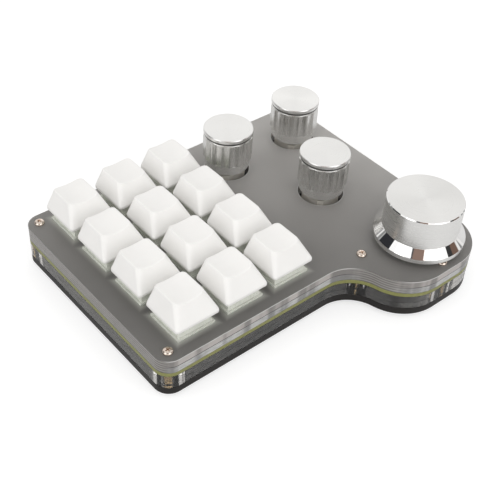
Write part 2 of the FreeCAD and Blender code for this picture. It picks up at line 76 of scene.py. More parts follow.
# %% Camera
scene = bpy.context.scene
scene.view_settings.view_transform = "Standard"
camera_data = bpy.data.cameras.new("product_camera")
camera_data.sensor_width = 36.0
camera_data.lens = 68.92
camera = bpy.data.objects.new("product_camera", camera_data)
camera.location = (-0.18403, -0.19736, 0.25217)
camera.rotation_euler = (0.836173, -0.049027, -0.696229)
scene.collection.objects.link(camera)
scene.camera = camera
print("camera at", tuple(camera.location))


# %% Node helpers
def node(tree, kind, values=None, **settings):
    """A shader node with its settings, and its sockets set or linked."""
    made = tree.nodes.new("ShaderNode" + kind)
    for key, value in settings.items():
        setattr(made, key, value)
    for socket, value in (values or {}).items():
        if isinstance(value, bpy.types.NodeSocket):
            tree.links.new(value, made.inputs[socket])
        else:
            made.inputs[socket].default_value = value
    return made


def maths(tree, operation, *values):
    """The result of a Math node."""
    return node(tree, "Math", dict(enumerate(values)), operation=operation).outputs[0]


def ramp(tree, value, low, high, start=0.0, end=1.0):
    """A value that runs smoothly from start to end as the input goes from low to high."""
    sockets = {"Value": value, "From Min": low, "From Max": high, "To Min": start, "To Max": end}
    return node(tree, "MapRange", sockets, interpolation_type="SMOOTHSTEP").outputs[0]


def band(tree, value, low, high, soft):
    """1 between low and high, fading to 0 over the soft width outside."""
    rise = ramp(tree, value, low - soft, low)
    fall = ramp(tree, value, high, high + soft, 1.0, 0.0)
    return maths(tree, "MULTIPLY", rise, fall)


def blend_colors(tree, factor, first, second):
    """A colour between two, by a factor."""
    mix = node(tree, "Mix", {"Factor": factor}, data_type="RGBA")
    for socket, value in ((6, first), (7, second)):
        if isinstance(value, bpy.types.NodeSocket):
            tree.links.new(value, mix.inputs[socket])
        else:
            mix.inputs[socket].default_value = (*value, 1.0)
    return mix.outputs[2]


# %% The white tent
# Each gap: its range of bearings from the camera's side and of elevations, in degrees, its colour,
# and how soft its edge is. A later gap lies over an earlier one.
tent_gaps = (
    ((-34, 32), (33, 64), (0.11, 0.105, 0.11), 4),
    ((-13, 15), (33, 64), (0.32, 0.22, 0.18), 4),
    ((-104, -62), (5, 45), (0.035, 0.035, 0.04), 4),
    ((64, 84), (5, 45), (0.05, 0.05, 0.05), 3),
    ((84, 97), (5, 45), (0.2, 0.13, 0.1), 3),
    ((106, 110), (5, 34), (0.3, 0.3, 0.3), 2),
    ((116, 120), (5, 34), (0.35, 0.35, 0.35), 2),
    ((-112, -108), (5, 34), (0.3, 0.3, 0.3), 2),
    ((-122, -118), (5, 34), (0.35, 0.35, 0.35), 2),
)
tent_white = (1.0, 0.995, 0.985)
diffuse_level = 0.78
glossy_level = 0.88
camera_bearing = math.radians(-132.4)
world = bpy.data.worlds.new("white_tent")
world.use_nodes = True
scene.world = world
tree = world.node_tree
tree.nodes.clear()
direction = node(tree, "SeparateXYZ", {0: node(tree, "TexCoord").outputs["Generated"]})
bearing = maths(tree, "SUBTRACT", maths(tree, "ARCTAN2", direction.outputs[1], direction.outputs[0]),
                camera_bearing)
bearing = maths(tree, "DEGREES", maths(tree, "WRAP", bearing, math.pi, -math.pi))
elevation = maths(tree, "DEGREES", maths(tree, "ARCSINE", direction.outputs[2]))
mirrored = tent_white
for bearings, elevations, color, soft in tent_gaps:
    gap = maths(tree, "MULTIPLY", band(tree, bearing, *bearings, soft),
                band(tree, elevation, *elevations, soft))
    mirrored = blend_colors(tree, gap, mirrored, color)
path = node(tree, "LightPath")
seen = maths(tree, "MAXIMUM", path.outputs["Is Camera Ray"], path.outputs["Is Transmission Ray"])
lit = blend_colors(tree, path.outputs["Is Glossy Ray"], tent_white, mirrored)
level = ramp(tree, path.outputs["Is Glossy Ray"], 0.0, 1.0, diffuse_level, glossy_level)
level = maths(tree, "MULTIPLY_ADD", seen, maths(tree, "SUBTRACT", 1.0, level), level)
shown = blend_colors(tree, seen, lit, tent_white)
background = node(tree, "Background", {"Color": shown, "Strength": level})
output = node(tree, "OutputWorld", {"Surface": background.outputs[0]})
print("gaps in the tent:", len(tent_gaps))


# %% [markdown]
# The lamps stand at bearings from the camera's side. The floor is matt white paper. It glows a little
# to the camera, so that it meets the white background without an edge and keeps a faint shadow.

# %% Lamps and floor
def soft_lamp(name, place, aim, size, power):
    """A square area lamp at a place, turned towards another."""
    data = bpy.data.lights.new(name, "AREA")
    data.size = size
    data.energy = power
    lamp = bpy.data.objects.new(name, data)
    lamp.location = place
    lamp.rotation_euler = (Vector(aim) - Vector(place)).to_track_quat("-Z", "Y").to_euler()
    scene.collection.objects.link(lamp)


lamp_distance = 1.1
# Each lamp: its bearing from the camera's side and its elevation in degrees, its size and power.
lamps = ((-46, 31, 0.95, 3.0), (46, 31, 0.95, 3.2), (180, 18, 0.6, 0.4))
for side, rise, size, power in lamps:
    turned_to = camera_bearing + math.radians(side)
    lamp_height = math.radians(rise)
    spot = lamp_distance * Vector((math.cos(turned_to) * math.cos(lamp_height),
                                   math.sin(turned_to) * math.cos(lamp_height), math.sin(lamp_height)))
    soft_lamp("softbox", spot, (0, 0, 0), size, power)

paper_white = 0.5
glow_seen = 0.62
glow_mirrored = 0.3
floor_finish = bpy.data.materials.new("white_paper_floor")
floor_finish.use_nodes = True
tree = floor_finish.node_tree
shader = tree.nodes["Principled BSDF"]
paper = node(tree, "TexNoise", {"Vector": node(tree, "TexCoord").outputs["Object"], "Scale": 60.0})
tree.links.new(ramp(tree, paper.outputs["Fac"], 0.3, 0.7, 0.78, 0.8), shader.inputs["Roughness"])
shader.inputs["Base Color"].default_value = (paper_white, paper_white, paper_white, 1.0)
shader.inputs["Specular IOR Level"].default_value = 0.0
shader.inputs["Emission Color"].default_value = (1.0, 1.0, 1.0, 1.0)
path = node(tree, "LightPath")
seen = maths(tree, "MAXIMUM", path.outputs["Is Camera Ray"], path.outputs["Is Transmission Ray"])
glow = maths(tree, "MULTIPLY_ADD", path.outputs["Is Glossy Ray"], glow_mirrored,
             maths(tree, "MULTIPLY", seen, glow_seen))
tree.links.new(maths(tree, "MINIMUM", glow, glow_seen), shader.inputs["Emission Strength"])
bm = bmesh.new()
bmesh.ops.create_grid(bm, x_segments=1, y_segments=1, size=4.0)
floor_mesh = bpy.data.meshes.new("floor")
bm.to_mesh(floor_mesh)
bm.free()
floor = bpy.data.objects.new("floor", floor_mesh)
floor_mesh.materials.append(floor_finish)
scene.collection.objects.link(floor)
print("lamps:", len(lamps), "and a floor")

# %% [markdown]
# ## Finishes
# Every surface has some life in it: a slight change of tone, a fine grain, an uneven shine. One
# helper makes that base for all the plastics and metals from noise on Object coordinates, because
# the pieces keep their real sizes there. The clear, printed and turned surfaces then get their own
# recipes, since their look follows the shape and not only the stuff, and the cover's recipes also
# paint light and shade into its colour.


# %% A finish with tone, grain and shine
def finish(name, color, roughness, tone=0.04, tone_size=9.0, grain=0.02, grain_size=0.25,
           spread=0.05, **sockets):
    """A Principled material: sizes in mm, other sockets by name with underscores."""
    material = bpy.data.materials.new(name)
    material.use_nodes = True
    tree = material.node_tree
    shader = tree.nodes["Principled BSDF"]
    place = node(tree, "TexCoord").outputs["Object"]
    cloud = node(tree, "TexNoise", {"Vector": place, "Scale": 1.0 / (tone_size * mm), "Detail": 3.0})
    darker = tuple(channel * (1.0 - tone) for channel in color)
    lighter = tuple(min(1.0, channel * (1.0 + tone)) for channel in color)
    factor = ramp(tree, cloud.outputs["Fac"], 0.3, 0.7)
    tree.links.new(blend_colors(tree, factor, darker, lighter), shader.inputs["Base Color"])
    speck = node(tree, "TexNoise", {"Vector": place, "Scale": 1.0 / (grain_size * mm), "Detail": 2.0})
    rough = ramp(tree, speck.outputs["Fac"], 0.3, 0.7, max(0.0, roughness - spread), roughness + spread)
    tree.links.new(rough, shader.inputs["Roughness"])
    bump = node(tree, "Bump", {"Height": speck.outputs["Fac"], "Distance": grain * mm, "Strength": 1.0})
    tree.links.new(bump.outputs[0], shader.inputs["Normal"])
    for socket, value in sockets.items():
        shader.inputs[socket.replace("_", " ")].default_value = value
    return material


# %% Plain plastics and metals
keycap_white = finish("keycap_white", (0.89, 0.88, 0.862), 0.55, tone=0.012, grain=0.012, grain_size=0.3,
                      Specular_IOR_Level=0.35)
milky_housing = finish("milky_housing", (0.8, 0.82, 0.74), 0.3, tone=0.05, tone_size=3.0,
                       Transmission_Weight=0.15)
slider_orange = finish("slider_orange", (0.62, 0.24, 0.11), 0.35, tone=0.06)
copper_leaf = finish("copper_leaf", (0.78, 0.42, 0.26), 0.3, tone=0.12, tone_size=1.5, Metallic=1.0)
spring_wire = finish("spring_wire", (0.6, 0.6, 0.58), 0.25, tone=0.2, tone_size=0.5, Metallic=1.0)
base_black = finish("base_black", (0.024, 0.022, 0.021), 0.4, tone=0.1, grain=0.006,
                    Specular_IOR_Level=0.15)
foot_rubber = finish("foot_rubber", (0.03, 0.03, 0.03), 0.75, tone=0.15, grain=0.05, grain_size=0.4)
screw_nickel = finish("screw_nickel", (0.74, 0.64, 0.56), 0.16, tone=0.08, tone_size=1.0, Metallic=1.0)
pillar_brass = finish("pillar_brass", (0.82, 0.6, 0.3), 0.25, tone=0.08, tone_size=1.5, Metallic=1.0)
light_lens = finish("light_lens", (0.7, 0.76, 0.72), 0.2, tone=0.15, tone_size=1.2)
encoder_nickel = finish("encoder_nickel", (0.84, 0.81, 0.74), 0.4, tone=0.06, tone_size=4.0,
                        grain=0.01, Metallic=0.5)
socket_steel = finish("socket_steel", (0.62, 0.62, 0.61), 0.25, tone=0.06, Metallic=1.0)
chip_black = finish("chip_black", (0.02, 0.02, 0.022), 0.55, tone=0.1)
shaft_metal = finish("shaft_metal", (0.7, 0.69, 0.66), 0.3, tone=0.06, Metallic=1.0)
plunger_nylon = finish("plunger_nylon", (0.05, 0.05, 0.05), 0.5, tone=0.1)
print("plain finishes:", len(bpy.data.materials))

# %% [markdown]
# ## The circuit board's finish
# The board is fibreglass under black lacquer, so its faces are black and its sawn edge is olive.
# One material can do both, because the surface normal tells a face from an edge.

# %% Circuit board finish
board_finish = finish("board_black", (0.016, 0.016, 0.017), 0.4, tone=0.2)
tree = board_finish.node_tree
shader = tree.nodes["Principled BSDF"]
upward = node(tree, "SeparateXYZ", {0: node(tree, "NewGeometry").outputs["Normal"]}).outputs[2]
is_edge = maths(tree, "LESS_THAN", maths(tree, "ABSOLUTE", upward), 0.5)
fibres = node(tree, "TexNoise", {"Vector": node(tree, "TexCoord").outputs["Object"], "Scale": 900.0})
olive = blend_colors(tree, fibres.outputs["Fac"], (0.17, 0.175, 0.05), (0.3, 0.3, 0.1))
lacquer = shader.inputs["Base Color"].links[0].from_socket
tree.links.new(blend_colors(tree, is_edge, lacquer, olive), shader.inputs["Base Color"])
print("board finish made")

# %% [markdown]
# ## Clear and frosted acrylic
# The cover and the spacer frame are cut from clear sheet, and their edges keep fine upright ridges
# from the cut. Glass alone would show whatever lies behind, so the cover's edge is part glass and
# part painted light: a pale band over a brighter streaky one, both painted light carried inside the
# sheet, with a painted dark reflection line between them where the board's far edge is mirrored,
# painted dark reflection patches, a painted highlight along the top, and painted shade with thin
# lines on the left side.

# %% Clear finish
acrylic_ior = 1.49


def sawn_ridges(tree, depth):
    """The bump of fine upright ridges on a cut edge."""
    place = node(tree, "TexCoord").outputs["Object"]
    stretched = node(tree, "Mapping", {"Vector": place, "Scale": (2500.0, 2500.0, 60.0)})
    ridges = node(tree, "TexNoise", {"Vector": stretched.outputs[0], "Scale": 1.0, "Detail": 2.0})
    return node(tree, "Bump", {"Height": ridges.outputs["Fac"], "Distance": depth * mm}).outputs[0]


def clear_finish(name, color, roughness, ridge_depth):
    """Clear acrylic with ridges on its cut edges."""
    material = bpy.data.materials.new(name)
    material.use_nodes = True
    tree = material.node_tree
    shader = tree.nodes["Principled BSDF"]
    place = node(tree, "TexCoord").outputs["Object"]
    cloud = node(tree, "TexNoise", {"Vector": place, "Scale": 300.0})
    tint = blend_colors(tree, cloud.outputs["Fac"], tuple(0.98 * part for part in color), color)
    tree.links.new(tint, shader.inputs["Base Color"])
    tree.links.new(sawn_ridges(tree, ridge_depth), shader.inputs["Normal"])
    shader.inputs["Roughness"].default_value = roughness
    shader.inputs["IOR"].default_value = acrylic_ior
    shader.inputs["Transmission Weight"].default_value = 1.0
    return material


clear_acrylic = clear_finish("clear_acrylic", (0.5, 0.485, 0.47), 0.08, 0.002)
print("clear finish made")


# %% Edge of the cover, with painted light
def stretched_noise(tree, place, scale, detail):
    """Noise drawn out along one or two axes."""
    stretched = node(tree, "Mapping", {"Vector": place, "Scale": scale})
    sockets = {"Vector": stretched.outputs[0], "Scale": 1.0, "Detail": detail}
    return node(tree, "TexNoise", sockets).outputs["Fac"]


cover_edge_painted_light = clear_finish("cover_edge_painted_light", (0.97, 0.955, 0.94), 0.2, 0.012)
tree = cover_edge_painted_light.node_tree
shader = tree.nodes["Principled BSDF"]
place = node(tree, "TexCoord").outputs["Object"]
height = node(tree, "SeparateXYZ", {0: place}).outputs[2]
level = maths(tree, "DIVIDE", maths(tree, "SUBTRACT", height, case_low.z), case_high.z - case_low.z)
streaks = stretched_noise(tree, place, (420.0, 420.0, 4000.0), 3.0)
# Painted light: the pale upper band and the brighter streaky lower band stand in for light carried inside
# the sheet.
lower_painted_light_band = blend_colors(tree, ramp(tree, streaks, 0.35, 0.65), (0.62, 0.62, 0.62), (0.9, 0.9, 0.89))
upper_painted_light_band = blend_colors(tree, streaks, (0.66, 0.61, 0.58), (0.78, 0.73, 0.7))
front_painted_light = blend_colors(tree, ramp(tree, level, 0.49, 0.52), lower_painted_light_band, upper_painted_light_band)
# Painted dark reflections in soft patches on the front faces.
painted_dark_reflection = ramp(tree, stretched_noise(tree, place, (160.0, 160.0, 10.0), 2.0), 0.42, 0.62, 0.0, 0.7)
front_painted_light = blend_colors(tree, painted_dark_reflection, front_painted_light, (0.16, 0.155, 0.15))
# A painted dark reflection line at half height, where the board's far edge is mirrored.
front_painted_light = blend_colors(tree, band(tree, level, 0.47, 0.5, 0.02), front_painted_light, (0.12, 0.11, 0.11))
# A painted highlight along the top of the edge.
front_painted_light = blend_colors(tree, ramp(tree, level, 0.9, 0.95), front_painted_light, (0.9, 0.89, 0.87))
# Painted shade on the left-facing side: darker, with thin lines.
lines = maths(tree, "SINE", maths(tree, "MULTIPLY", level, 34.0))
painted_shade_side = blend_colors(tree, ramp(tree, lines, 0.3, 0.8), (0.42, 0.4, 0.38), (0.2, 0.19, 0.18))
facing = node(tree, "SeparateXYZ", {0: node(tree, "NewGeometry").outputs["Normal"]}).outputs[0]
to_left = ramp(tree, facing, -0.9, -0.5, 1.0, 0.0)
tree.links.new(blend_colors(tree, to_left, front_painted_light, painted_shade_side), shader.inputs["Base Color"])
shader.inputs["Transmission Weight"].default_value = 0.4
print("cover edge made")

# %% [markdown]
# The top of the cover is frosted, which is part diffuse white and part rough glass. Its colour
# carries painted light, worked out from the distance to each switch and knob opening: pale painted
# halos round the milky switches for their light scattered in the frost, and thin pale painted
# highlight rims at the knob openings. Painted shade and reflection make the sheet dark at the front
# and paler to the back.


# %% Frosted top of the cover, with painted light
def distance_to_grid(tree, place, first, step, count):
    """How far a coordinate is from the nearest of some evenly spaced lines."""
    steps = maths(tree, "ROUND", maths(tree, "DIVIDE", maths(tree, "SUBTRACT", place, first), step))
    steps = maths(tree, "MINIMUM", maths(tree, "MAXIMUM", steps, 0.0), count - 1.0)
    return maths(tree, "ABSOLUTE", maths(tree, "SUBTRACT", place,
                 maths(tree, "MULTIPLY_ADD", steps, step, first)))


small_knobs = ("left", "right", "middle")
painted_halo_glow_color = (0.8, 0.81, 0.74)
painted_rim_highlight_color = (0.85, 0.85, 0.82)
frosted_acrylic = finish("frosted_acrylic", (0.62, 0.59, 0.57), 0.5, tone=0.02, grain=0.02,
                         grain_size=0.2, Transmission_Weight=0.46, IOR=acrylic_ior)
tree = frosted_acrylic.node_tree
shader = tree.nodes["Principled BSDF"]
spot = node(tree, "TexCoord").outputs["Object"]
place = node(tree, "SeparateXYZ", {0: spot})
across = distance_to_grid(tree, place.outputs[0], first_key.x, pitch, 3)
along = distance_to_grid(tree, place.outputs[1], first_key.y, pitch, 4)
from_switch = maths(tree, "MAXIMUM", across, along)
# A painted pale halo round each switch, standing in for its light scattered in the frost.
painted_halo_glow = ramp(tree, from_switch, 7.4 * mm, 10.3 * mm, 0.7, 0.0)
# Painted shade and reflection on the frosted top: dark at the front, paler to the back.
depth = maths(tree, "MULTIPLY_ADD", place.outputs[0], 0.68,
              maths(tree, "MULTIPLY", place.outputs[1], 0.73))
painted_light_sheet = blend_colors(tree, ramp(tree, depth, -45 * mm, 95 * mm), (0.15, 0.145, 0.137), (0.78, 0.76, 0.73))
# A painted pale highlight rim round each knob opening.
for name in small_knobs:
    axis = centre_of(name + "_knob")
    axis.z = case_high.z
    from_axis = node(tree, "VectorMath", {0: spot, 1: axis}, operation="DISTANCE").outputs[1]
    painted_light_sheet = blend_colors(tree, ramp(tree, from_axis, 8.9 * mm, 9.6 * mm, 0.75, 0.0), painted_light_sheet, painted_rim_highlight_color)
grain_color = shader.inputs["Base Color"].links[0].from_socket
clouded = blend_colors(tree, 0.15, painted_light_sheet, grain_color)
tree.links.new(blend_colors(tree, painted_halo_glow, clouded, painted_halo_glow_color), shader.inputs["Base Color"])
print("frosted finish made")

# %% [markdown]
# ## Turned aluminium
# The knobs are turned on a lathe, which leaves fine rings. Light smears across the rings and makes
# a bright fan on the flat top. An anisotropic shader gives that, if its direction follows the
# turning, so each knob gets a UV map whose U runs round it and whose V runs along its profile.


# %% Aluminium finishes
def turned_finish(name, color, roughness, anisotropy, line_scale, line_depth, turned_by=0.25):
    """Aluminium with fine lines round or along its axis, read from the knob's own UV map."""
    material = bpy.data.materials.new(name)
    material.use_nodes = True
    tree = material.node_tree
    shader = tree.nodes["Principled BSDF"]
    around = node(tree, "UVMap", uv_map="turned").outputs[0]
    stretched = node(tree, "Mapping", {"Vector": around, "Scale": (*line_scale, 1.0)})
    rings = node(tree, "TexNoise", {"Vector": stretched.outputs[0], "Scale": 1.0, "Detail": 3.0})
    darker = tuple(0.94 * part for part in color)
    tree.links.new(blend_colors(tree, rings.outputs["Fac"], darker, color), shader.inputs["Base Color"])
    rough = ramp(tree, rings.outputs["Fac"], 0.3, 0.7, roughness * 0.8, roughness * 1.2)
    tree.links.new(rough, shader.inputs["Roughness"])
    bump = node(tree, "Bump", {"Height": rings.outputs["Fac"], "Distance": line_depth * mm})
    tree.links.new(bump.outputs[0], shader.inputs["Normal"])
    tangent = node(tree, "Tangent", direction_type="UV_MAP", uv_map="turned")
    tree.links.new(tangent.outputs[0], shader.inputs["Tangent"])
    shader.inputs["Metallic"].default_value = 1.0
    shader.inputs["Anisotropic"].default_value = anisotropy
    shader.inputs["Anisotropic Rotation"].default_value = turned_by
    return material


aluminium = (0.88, 0.875, 0.86)
spun_aluminium = turned_finish("spun_aluminium", aluminium, 0.34, 0.75, (3, 1 / (0.12 * mm)), 0.002)
brushed_aluminium = turned_finish("brushed_aluminium", aluminium, 0.3, 0.6, (3, 1 / (0.15 * mm)), 0.003)
fluted_aluminium = turned_finish("fluted_aluminium", (0.82, 0.815, 0.8), 0.26, 0.4, (260, 1 / (6 * mm)),
                                 0.0015, 0.0)
polished_aluminium = turned_finish("polished_aluminium", (0.92, 0.915, 0.905), 0.04, 0.0,
                                   (2, 1 / (0.6 * mm)), 0.0005)
groove_shadow = turned_finish("groove_shadow", (0.2, 0.195, 0.19), 0.4, 0.3, (3, 1 / (0.2 * mm)), 0.002)
knob_finishes = [spun_aluminium, brushed_aluminium, polished_aluminium, fluted_aluminium, groove_shadow]
spun, brushed, polished, fluted, shadowed = range(5)
print("aluminium finishes made")

# %% [markdown]
# ## Making pieces
# A piece is shaped in a bmesh, which is Blender's mesh being edited, and then handed over: it gets
# its finishes, rides on a moving body of the keypad and stands for the plain pieces it replaces.
# Doing this in one helper keeps the steps that follow short.


# %% Piece helpers
def hand_over(bm, name, body, finishes, nodes=(), sharp=38):
    """Turns a bmesh into a finished piece that rides on a body and replaces nodes."""
    mesh = bpy.data.meshes.new(name)
    bm.to_mesh(mesh)
    bm.free()
    piece = bpy.data.objects.new(name, mesh)
    scene.collection.objects.link(piece)
    for material in finishes:
        mesh.materials.append(material)
    mesh.shade_smooth()
    mesh.set_sharp_from_angle(angle=math.radians(sharp))
    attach(piece, body)
    if nodes:
        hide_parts(*nodes)
    triangles = sum(len(face.vertices) - 2 for face in mesh.polygons)
    print(name, "has", triangles, "triangles")
    return piece


def softened_copy(node_name, width, segments=2, sharp=30):
    """A bmesh of a node with its seams merged, flat faces joined and sharp edges bevelled."""
    bm = bmesh.new()
    bm.from_mesh(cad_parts[node_name].data)
    bmesh.ops.remove_doubles(bm, verts=bm.verts, dist=0.0005 * mm)
    bmesh.ops.dissolve_limit(bm, angle_limit=math.radians(0.5), verts=bm.verts, edges=bm.edges)
    edges = [edge for edge in bm.edges
             if len(edge.link_faces) == 2 and edge.calc_face_angle() > math.radians(sharp)]
    bmesh.ops.bevel(bm, geom=edges, offset=width * mm, offset_type="OFFSET", segments=segments,
                    profile=0.5, affect="EDGES", clamp_overlap=True, material=-1)
    return bm


def keep_flat(piece):
    """Gives large flat faces a true normal beside small round ones."""
    modifier = piece.modifiers.new("true_flats", "WEIGHTED_NORMAL")
    modifier.keep_sharp = True


# %% [markdown]
# ## Keycaps
# A keycap is a thin white shell: a short upright lip, four leaning sides and a top that is hollowed
# from side to side for the finger. It could be sculpted, but a rounded square drawn upwards ring by
# ring keeps every face even. Each point remembers its place on the square and which way its corner
# faces, so a ring of any size and corner radius can be laid out from the same points.

# %% Keycap sizes
cap_low, cap_high = (Vector(corner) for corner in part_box("keycap_row1_col1"))
cap_width = (cap_high.x - cap_low.x) / mm
cap_depth = (cap_high.y - cap_low.y) / mm
cap_height = (cap_high.z - cap_low.z) / mm
cap_lip = 1.0
cap_top_width = 12.2
cap_top_depth = 12.1
cap_top_shift = 1.9
cap_base_corner = 1.2
cap_top_corner = 1.8
cap_dish = 1.0
cap_wall = 1.2
cap_roof = 2.3
rim_drop = 0.55
rim_inset = 0.6
dish_cuts = 10
corner_share = 0.3
print("keycap in mm:", round(cap_width, 1), round(cap_depth, 1), round(cap_height, 1))


# %% Keycap skin
def rounded_square():
    """A square face with round corners, cut into strips from front to back, and its point notes."""
    bm = bmesh.new()
    anchor = bm.verts.layers.float_vector.new("anchor")
    outward = bm.verts.layers.float_vector.new("outward")
    bmesh.ops.create_grid(bm, x_segments=1, y_segments=1, size=1.0)
    bmesh.ops.bevel(bm, geom=bm.verts[:], offset=corner_share, offset_type="OFFSET", segments=5,
                    profile=0.5, affect="VERTICES", material=-1)
    straight = 1.0 - corner_share
    long_edges = [edge for edge in bm.edges if edge.calc_length() > straight
                  and abs(edge.verts[0].co.y - edge.verts[1].co.y) < 1e-6]
    bmesh.ops.subdivide_edges(bm, edges=long_edges, cuts=dish_cuts - 1)
    by_place = {}
    for vert in bm.verts:
        by_place.setdefault(round(vert.co.x, 4), []).append(vert)
    for place, pair in sorted(by_place.items()):
        if len(pair) == 2 and abs(place) < 0.999:
            bmesh.ops.connect_vert_pair(bm, verts=pair)
    for vert in bm.verts:
        held = Vector([max(-straight, min(straight, part)) for part in vert.co.xy] + [0.0])
        vert[anchor] = held / straight
        vert[outward] = (vert.co - held) / corner_share
    return bm, anchor, outward


def cap_ring(share, inset):
    """Width, depth, corner radius and shift of the leaning sides at a share of their height."""
    width = cap_width + (cap_top_width - cap_width) * share - 2 * inset
    depth = cap_depth + (cap_top_depth - cap_depth) * share - 2 * inset
    corner = cap_base_corner + (cap_top_corner - cap_base_corner) * share - inset
    return width, depth, max(0.4, corner), cap_top_shift * share


def cap_skin(rings):
    """An open-bottomed skin drawn up through rings of (height, width, depth, corner, shift, dish)."""
    bm, anchor, outward = rounded_square()
    faces = bm.faces[:]
    lean = (cap_depth - cap_top_depth) / 2 / (cap_height - cap_lip)
    for number, (height, width, depth, corner, shift, dish) in enumerate(rings):
        if number:
            grown = bmesh.ops.extrude_face_region(bm, geom=faces)
            faces = [part for part in grown["geom"] if isinstance(part, bmesh.types.BMFace)]
        for vert in {vert for face in faces for vert in face.verts}:
            across = vert[anchor].x * (width / 2 - corner) + vert[outward].x * corner
            along = vert[anchor].y * (depth / 2 - corner) + vert[outward].y * corner + shift
            sink = dish * max(0.0, 1 - (across / (cap_top_width / 2)) ** 2)
            along += vert[outward].y * lean * sink
            vert.co = Vector((across, along, height - sink)) * mm
    first_height = rings[0][0] * mm
    for face in [face for face in bm.faces
                 if all(abs(vert.co.z - first_height) < 1e-9 for vert in face.verts)]:
        bmesh.ops.delete(bm, geom=[face], context="FACES_ONLY")
    return bm


# %% Keycap with its inside and socket
def build_keycap():
    """A whole keycap with its bottom at z = 0."""
    rings = [(0.0, *cap_ring(0.0, 0.1), 0.0), (0.12, *cap_ring(0.0, 0.0), 0.0),
             (cap_lip - 0.3, *cap_ring(0.0, 0.0), 0.0), (cap_lip, *cap_ring(0.0, 0.04), 0.0),
             (cap_lip + 0.35, *cap_ring(0.35 / (cap_height - cap_lip), 0.0), 0.0)]
    slope = (cap_width - cap_top_width) / 2 / (cap_height - cap_lip)
    for step in range(6):
        share = step / 5
        out = (1 - share) ** 2 * rim_drop * slope - share ** 2 * rim_inset
        width, depth, corner, shift = cap_ring(1.0, -out)
        rings.append((cap_height - (1 - share) ** 2 * rim_drop, width, depth, corner, shift, cap_dish))
    bm = cap_skin(rings)
    roof = cap_height - cap_roof
    inner = cap_skin([(0.0, *cap_ring(0.0, cap_wall), 0.0), (cap_lip, *cap_ring(0.0, cap_wall), 0.0),
                      (roof, *cap_ring(roof / cap_height, cap_wall), 0.0)])
    bmesh.ops.reverse_faces(inner, faces=inner.faces)
    spare = bpy.data.meshes.new("cap_inside")
    inner.to_mesh(spare)
    inner.free()
    bm.from_mesh(spare)
    bpy.data.meshes.remove(spare)
    bottom = [edge for edge in bm.edges
              if edge.is_boundary and all(abs(vert.co.z) < 1e-7 for vert in edge.verts)]
    bmesh.ops.bridge_loops(bm, edges=bottom)
    boss_start = 1.6 * mm
    boss_height = roof * mm - boss_start
    boss = bmesh.ops.create_cone(bm, cap_ends=True, segments=24, radius1=2.7 * mm, radius2=2.7 * mm,
                                 depth=boss_height,
                                 matrix=Matrix.Translation((0, 0, boss_start + boss_height / 2)))
    ends = {face for vert in boss["verts"] for face in vert.link_faces if len(face.verts) == 24}
    mouth = min(ends, key=lambda face: face.calc_center_median().z)
    bmesh.ops.inset_region(bm, faces=[mouth], thickness=0.5 * mm, use_even_offset=True)
    deeper = bmesh.ops.extrude_face_region(bm, geom=[mouth])
    bmesh.ops.translate(bm, vec=(0, 0, 3.8 * mm),
                        verts=[part for part in deeper["geom"] if isinstance(part, bmesh.types.BMVert)])
    bm.normal_update()
    return bm


keycap_pattern = build_keycap()
keycap_mesh = bpy.data.meshes.new("keycap_pattern")
keycap_pattern.to_mesh(keycap_mesh)
keycap_pattern.free()
for row in range(1, 5):
    for column in range(1, 4):
        place = f"row{row}_col{column}"
        axis = centre_of("slider_" + place)
        bm = bmesh.new()
        bm.from_mesh(keycap_mesh)
        bmesh.ops.translate(bm, vec=(axis.x, axis.y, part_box("keycap_" + place)[0][2]), verts=bm.verts)
        keep_flat(hand_over(bm, "white_cap_" + place, "key_" + place, [keycap_white],
                            ["keycap_" + place]))
bpy.data.meshes.remove(keycap_mesh)

# %% [markdown]
# ## Turned knobs
# A knob's outline is drawn once as a line and spun round its axis, as a lathe would make it. Each
# stretch of the line has its own finish: polished chamfers, spun top, brushed sides.


# %% Turning helper
def turn(profile, steps, middle):
    """A solid spun from (radius, height, finish) points in mm, with a UV map that follows it."""
    bm = bmesh.new()
    along = bm.verts.layers.float.new("along")
    kind = bm.verts.layers.int.new("kind")
    line = []
    travelled = 0.0
    for number, (radius, height, finish_number) in enumerate(profile):
        vert = bm.verts.new((radius * mm, 0, height * mm))
        if number:
            travelled += (vert.co - line[-1].co).length
        vert[along] = travelled
        vert[kind] = finish_number
        line.append(vert)
    edges = [bm.edges.new(pair) for pair in zip(line, line[1:])]
    bmesh.ops.spin(bm, geom=line + edges, cent=(0, 0, 0), axis=(0, 0, 1), dvec=(0, 0, 0),
                   angle=2 * math.pi, steps=steps, use_merge=True, use_duplicate=False)
    bmesh.ops.remove_doubles(bm, verts=bm.verts, dist=1e-8)
    bmesh.ops.recalc_face_normals(bm, faces=bm.faces)
    around = bm.loops.layers.uv.new("turned")
    for face in bm.faces:
        centre = face.calc_center_median()
        facing = math.atan2(centre.y, centre.x)
        first = min(face.verts, key=lambda vert: vert[along])
        face.material_index = first[kind]
        for loop in face.loops:
            spot = loop.vert.co
            turned_by = 0.0
            if spot.xy.length > 1e-6:
                turned_by = math.atan2(spot.y, spot.x) - facing
                turned_by = (turned_by + math.pi) % (2 * math.pi) - math.pi
            loop[around].uv = ((facing + turned_by) / (2 * math.pi), loop.vert[along])
    bmesh.ops.translate(bm, vec=middle, verts=bm.verts)
    return bm


# %% [markdown]
# ## Small knobs
# The three small knobs have a smooth band that tapers in below, sixteen shallow flutes, a groove
# and a flat cap. All four knobs have the same bore for the shaft, with a wider room below it. The
# flutes are pressed into the spun wall afterwards: each point of the wall is moved in to the arc that
# the flute's cutter would leave, so their edges stay crisp.

